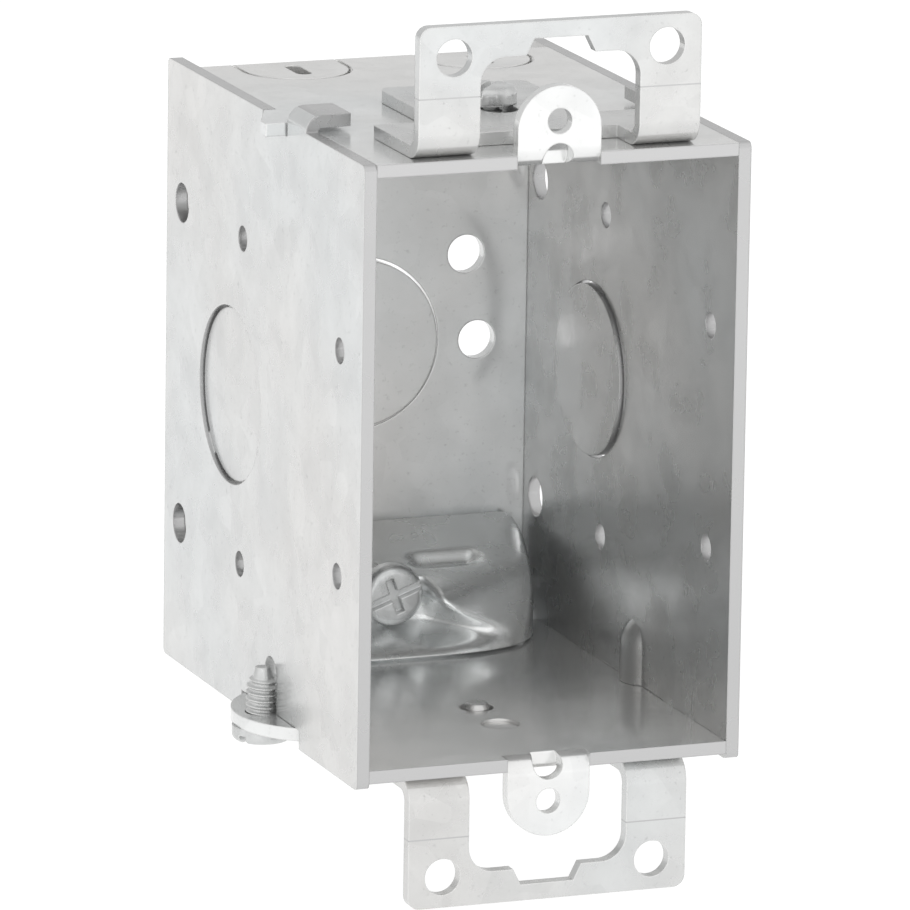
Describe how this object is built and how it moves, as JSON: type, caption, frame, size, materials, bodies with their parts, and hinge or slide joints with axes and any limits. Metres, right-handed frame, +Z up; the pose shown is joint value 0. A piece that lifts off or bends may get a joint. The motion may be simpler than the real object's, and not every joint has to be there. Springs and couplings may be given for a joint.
{
  "type": "electrical switch box",
  "caption": "Gangable folded steel switch box with screwed side plates, sliding plaster ears, inside cable clamps, knock-outs and pry-outs.",
  "frame": {"origin": "middle of the front opening, half way between the two device screw holes, on the front face of the device tabs", "axes": "+X to the right seen from the room, +Y back into the wall, +Z up"},
  "size_m": [0.0586, 0.0755, 0.1076],
  "materials": {
    "galvanised_steel": "zinc coated sheet, semi-gloss with faint mottling",
    "zinc_screw": "bright zinc plate, semi-gloss"
  },
  "bodies": {
    "body": {"box_body": "galvanised_steel", "left_side_plate": "galvanised_steel", "right_side_plate": "galvanised_steel"},
    "upper_ear": {"upper_ear": "galvanised_steel"},
    "lower_ear": {"lower_ear": "galvanised_steel"},
    "upper_clamp": {"upper_clamp": "galvanised_steel", "upper_clamp_screw": "zinc_screw"},
    "lower_clamp": {"lower_clamp": "galvanised_steel", "lower_clamp_screw": "zinc_screw"},
    "upper_ear_screw": {"upper_ear_screw": "zinc_screw"},
    "lower_ear_screw": {"lower_ear_screw": "zinc_screw"},
    "left_side_screw": {"left_side_screw": "zinc_screw"},
    "right_side_screw": {"right_side_screw": "zinc_screw"}
  },
  "joints": [
    {"name": "upper_ear_slide", "type": "slide", "parent": "body", "child": "upper_ear", "axis": [0, 1, 0], "range_m": [-0.0045, 0.0045]},
    {"name": "lower_ear_slide", "type": "slide", "parent": "body", "child": "lower_ear", "axis": [0, 1, 0], "range_m": [-0.0045, 0.0045]},
    {"name": "upper_clamp_travel", "type": "slide", "parent": "body", "child": "upper_clamp", "axis": [0, -1, 0], "range_m": [-0.001, 0.006]},
    {"name": "lower_clamp_travel", "type": "slide", "parent": "body", "child": "lower_clamp", "axis": [0, -1, 0], "range_m": [-0.001, 0.006]},
    {"name": "left_side_screw_travel", "type": "slide", "parent": "body", "child": "left_side_screw", "axis": [0, 0, -1], "range_m": [0, 0.0055]},
    {"name": "right_side_screw_travel", "type": "slide", "parent": "body", "child": "right_side_screw", "axis": [0, 0, -1], "range_m": [0, 0.0055]},
    {"name": "upper_ear_screw_turn", "type": "hinge", "parent": "body", "child": "upper_ear_screw", "pos_m": [0, 0.0243, 0.0385], "axis": [0, 0, 1], "range_deg": [0, 360]},
    {"name": "lower_ear_screw_turn", "type": "hinge", "parent": "body", "child": "lower_ear_screw", "pos_m": [0, 0.0243, -0.0385], "axis": [0, 0, -1], "range_deg": [0, 360]}
  ]
}
